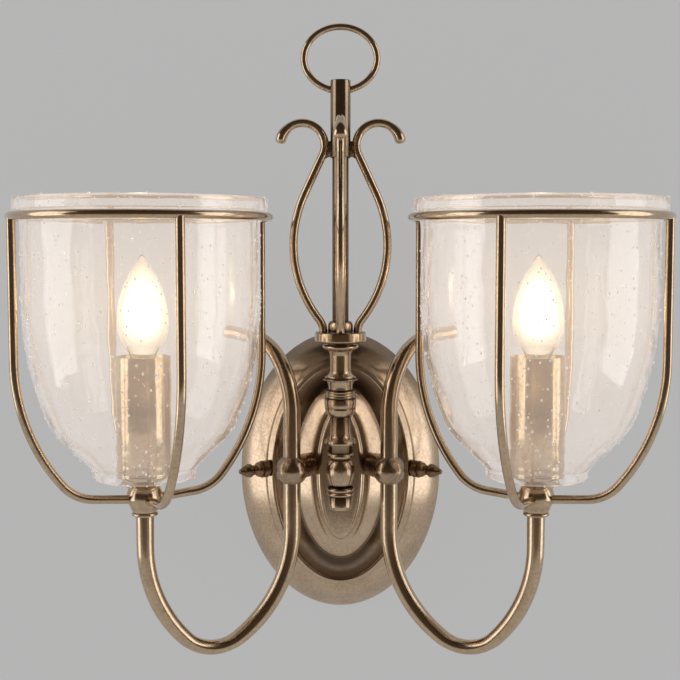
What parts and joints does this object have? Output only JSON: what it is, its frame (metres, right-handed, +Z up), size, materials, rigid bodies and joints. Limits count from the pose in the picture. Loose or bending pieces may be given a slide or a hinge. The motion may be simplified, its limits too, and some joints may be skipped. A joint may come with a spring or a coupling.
{
  "type": "double arm wall sconce",
  "caption": "Double arm wall sconce: oval backplate, turned column with scrolls and loop, swept arms carrying caged glass bell shades over candle lamps.",
  "frame": {"origin": "middle of the oval backplate, on the wall face", "axes": "+Y into the wall, +Z up, +X to the right as seen from the room; the lamp stands out towards -Y"},
  "size_m": [0.3938, 0.1693, 0.3931],
  "materials": {
    "antique_brass": "antique, polished and lacquered",
    "satin_brass": "satin",
    "seeded_glass": "clear with small seeds",
    "bulb_glass": "clear",
    "bulb_glow": "white diffuser, lit",
    "nickel_cap": "plated",
    "lampholder_black": "matt",
    "zinc_steel": "zinc plated",
    "terminal_plastic": "matt",
    "terminal_brass": "plain"
  },
  "bodies": {
    "fixture": {"arm_balls": "antique_brass", "arm_flanges": "antique_brass", "arm_nipples": "zinc_steel", "arm_spacers": "antique_brass", "backplate": "antique_brass", "candle_cups": "antique_brass", "column_bead": "antique_brass", "column_bulb": "antique_brass", "column_bulge": "antique_brass", "column_cup": "antique_brass", "column_end_cap": "antique_brass", "column_lower_rings": "antique_brass", "column_neck": "antique_brass", "column_ring_stack": "antique_brass", "column_standoff": "antique_brass", "column_upper": "antique_brass", "earth_screw": "zinc_steel", "front_scroll": "antique_brass", "lamp_nipples": "zinc_steel", "lamp_nuts": "zinc_steel", "left_arm_crook": "antique_brass", "left_arm_tube": "antique_brass", "left_cage_ring": "antique_brass", "left_cage_rods": "antique_brass", "left_candle_tube": "satin_brass", "left_lampholder": "lampholder_black", "left_scroll": "antique_brass", "left_shade_ball": "antique_brass", "loop_ring": "antique_brass", "nipple_nuts": "zinc_steel", "nipple_wedges": "zinc_steel", "right_arm_crook": "antique_brass", "right_arm_tube": "antique_brass", "right_cage_ring": "antique_brass", "right_cage_rods": "antique_brass", "right_candle_tube": "satin_brass", "right_lampholder": "lampholder_black", "right_scroll": "antique_brass", "right_shade_ball": "antique_brass", "saddle_washers": "antique_brass", "side_studs": "zinc_steel", "sleeve": "antique_brass", "standoff_screw": "zinc_steel", "stem": "antique_brass", "stem_collar": "antique_brass", "terminal_block": "terminal_plastic", "terminal_screws": "terminal_brass", "tie_rod": "zinc_steel", "top_disc": "antique_brass", "wall_bracket": "zinc_steel"},
    "left_glass": {"left_glass_shade": "seeded_glass"},
    "left_bulb": {"left_bulb_cap": "nickel_cap", "left_bulb_core": "bulb_glow", "left_bulb_glass": "bulb_glass"},
    "left_nut": {"left_finial_nut": "antique_brass"},
    "right_glass": {"right_glass_shade": "seeded_glass"},
    "right_bulb": {"right_bulb_cap": "nickel_cap", "right_bulb_core": "bulb_glow", "right_bulb_glass": "bulb_glass"},
    "right_nut": {"right_finial_nut": "antique_brass"}
  },
  "joints": [
    {"name": "left_glass_lift", "type": "slide", "parent": "fixture", "child": "left_glass", "axis": [0, 0, 1], "range_m": [0, 0.17]},
    {"name": "left_bulb_turn", "type": "hinge", "parent": "fixture", "child": "left_bulb", "pos_m": [-0.11836, -0.09078, 0.07], "axis": [0, 0, 1], "continuous": true},
    {"name": "left_nut_turn", "type": "hinge", "parent": "fixture", "child": "left_nut", "pos_m": [-0.0522, -0.0234, 0.004], "axis": [-0.8192, -0.5736, 0], "continuous": true},
    {"name": "right_glass_lift", "type": "slide", "parent": "fixture", "child": "right_glass", "axis": [0, 0, 1], "range_m": [0, 0.17]},
    {"name": "right_bulb_turn", "type": "hinge", "parent": "fixture", "child": "right_bulb", "pos_m": [0.11836, -0.09078, 0.07], "axis": [0, 0, 1], "continuous": true},
    {"name": "right_nut_turn", "type": "hinge", "parent": "fixture", "child": "right_nut", "pos_m": [0.0522, -0.0234, 0.004], "axis": [0.8192, -0.5736, 0], "continuous": true}
  ]
}
